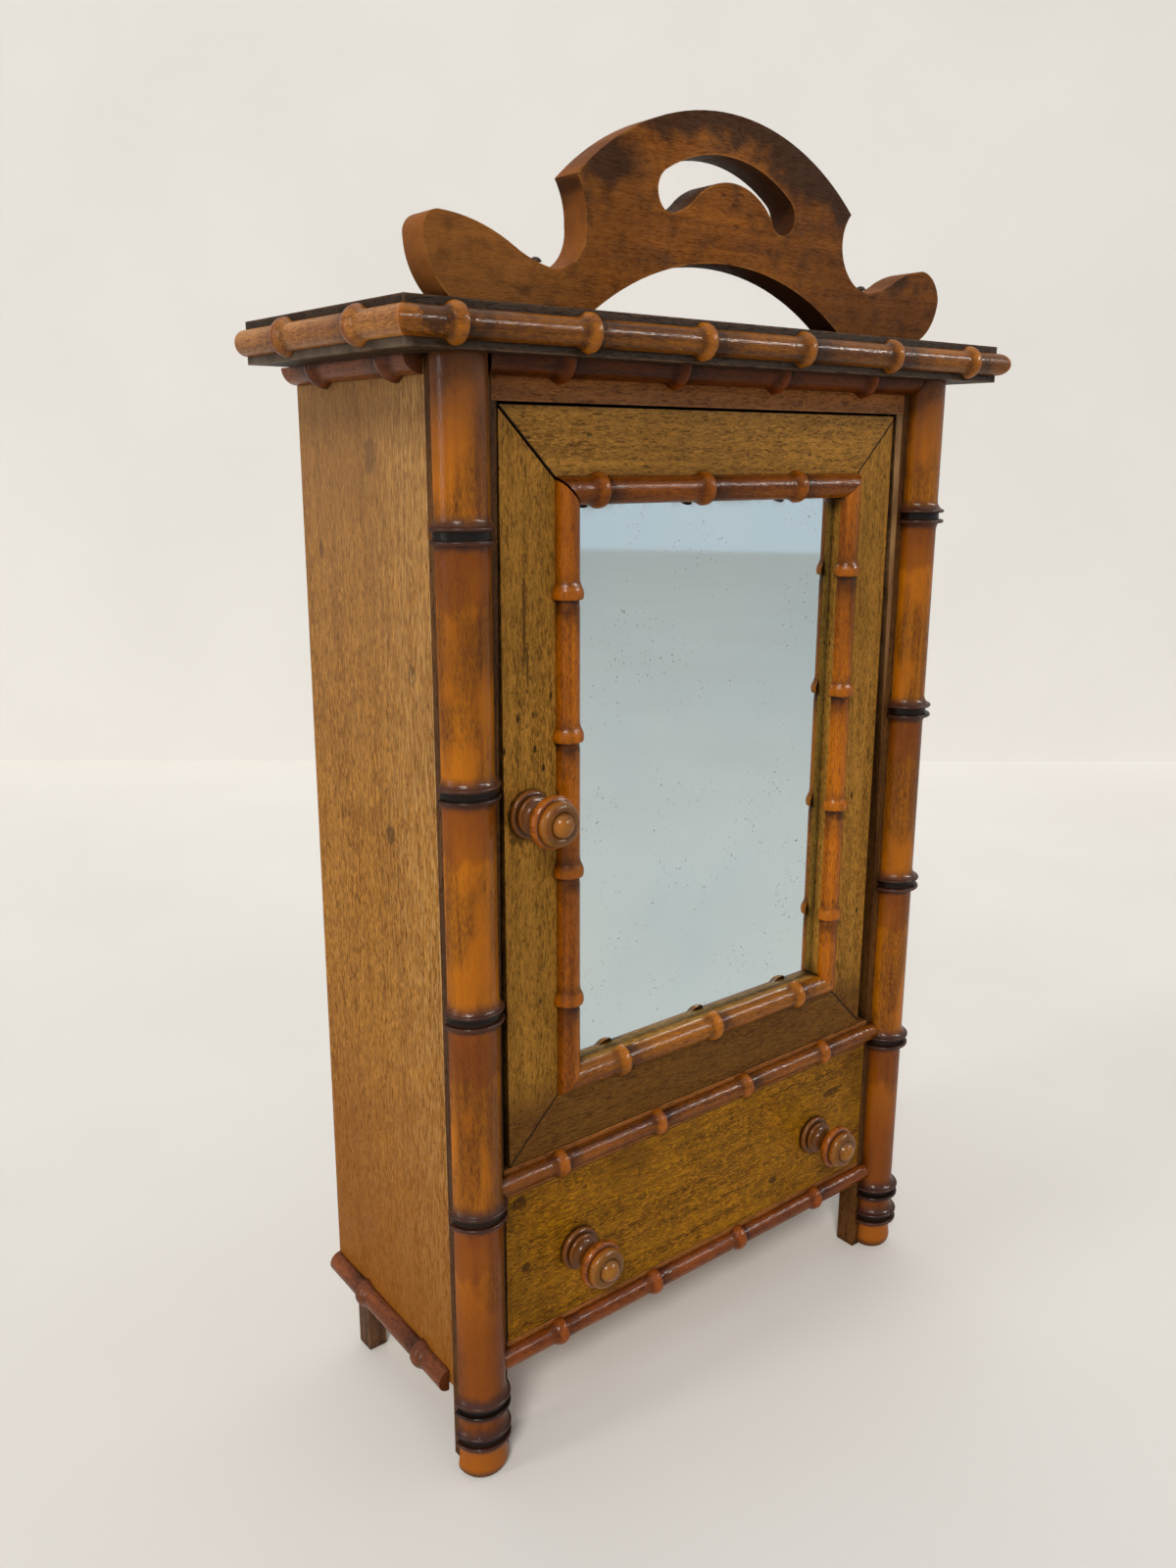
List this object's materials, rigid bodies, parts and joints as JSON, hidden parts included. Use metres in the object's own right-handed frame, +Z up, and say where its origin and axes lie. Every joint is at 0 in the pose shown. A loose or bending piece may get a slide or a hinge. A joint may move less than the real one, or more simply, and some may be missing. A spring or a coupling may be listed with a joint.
{
  "type": "mirrored cabinet",
  "caption": "Small table wardrobe with a mirrored hinged door above a sliding drawer, turned bamboo-style posts and mouldings, a wide cornice and a fretsawn pediment.",
  "frame": {"origin": "centre of the footprint of the whole cabinet, on the floor that its legs stand on", "axes": "+Z up; -Y out of the mirrored front, so the back is towards +Y; +X to the right as seen from the front"},
  "size_m": [0.31, 0.1281, 0.5092],
  "materials": {
    "panel_oak": "worn satin varnish",
    "frame_wood": "dark worn varnish",
    "turned_amber": "glossy varnish",
    "cornice_amber": "glossy varnish",
    "cornice_dark": "dark worn varnish",
    "frieze_red": "glossy varnish",
    "slim_red": "glossy varnish",
    "leg_wood": "dusty, worn",
    "pediment_wood": "satin varnish",
    "door_oak": "satin varnish",
    "drawer_oak": "satin varnish",
    "knob_amber": "glossy varnish, worn",
    "inner_wood": "bare",
    "mirror": "silvered glass, aged",
    "iron": "dark, dull"
  },
  "bodies": {
    "carcass": {"side_panel_left": "panel_oak", "side_panel_right": "panel_oak", "back_panel": "inner_wood", "cornice_board": "cornice_dark", "bottom_board": "inner_wood", "cupboard_floor": "inner_wood", "front_stile_left": "frame_wood", "front_stile_right": "frame_wood", "front_post_left": "turned_amber", "front_post_right": "turned_amber", "back_leg_left": "leg_wood", "back_leg_right": "leg_wood", "top_rail": "frame_wood", "divider_rail": "frame_wood", "base_rail": "frame_wood", "cornice_moulding_front": "cornice_amber", "cornice_moulding_left": "cornice_amber", "cornice_moulding_right": "cornice_amber", "frieze_moulding_front": "frieze_red", "frieze_moulding_left": "frieze_red", "frieze_moulding_right": "frieze_red", "divider_moulding": "slim_red", "base_moulding_front": "slim_red", "base_moulding_left": "slim_red", "base_moulding_right": "slim_red", "pediment": "pediment_wood", "pediment_nails": "iron", "drawer_guide_left": "inner_wood", "drawer_guide_right": "inner_wood", "pivot_pins": "iron"},
    "door": {"door_stile_left": "door_oak", "door_stile_right": "door_oak", "door_rail_top": "door_oak", "door_rail_bottom": "door_oak", "mirror_glass": "mirror", "mirror_backing": "inner_wood", "door_moulding_left": "slim_red", "door_moulding_right": "slim_red", "door_moulding_top": "slim_red", "door_moulding_bottom": "slim_red", "door_knob": "knob_amber"},
    "drawer": {"drawer_front": "drawer_oak", "drawer_side_left": "inner_wood", "drawer_side_right": "inner_wood", "drawer_back": "inner_wood", "drawer_bottom": "inner_wood", "drawer_knob_left": "knob_amber", "drawer_knob_right": "knob_amber"}
  },
  "joints": [
    {"name": "door_hinge", "type": "hinge", "parent": "carcass", "child": "door", "pos_m": [0.0997, -0.0373, 0.26575], "axis": [0, 0, 1], "range_deg": [0, 95]},
    {"name": "drawer_slide", "type": "slide", "parent": "carcass", "child": "drawer", "axis": [0, -1, 0], "range_m": [0, 0.055]}
  ]
}
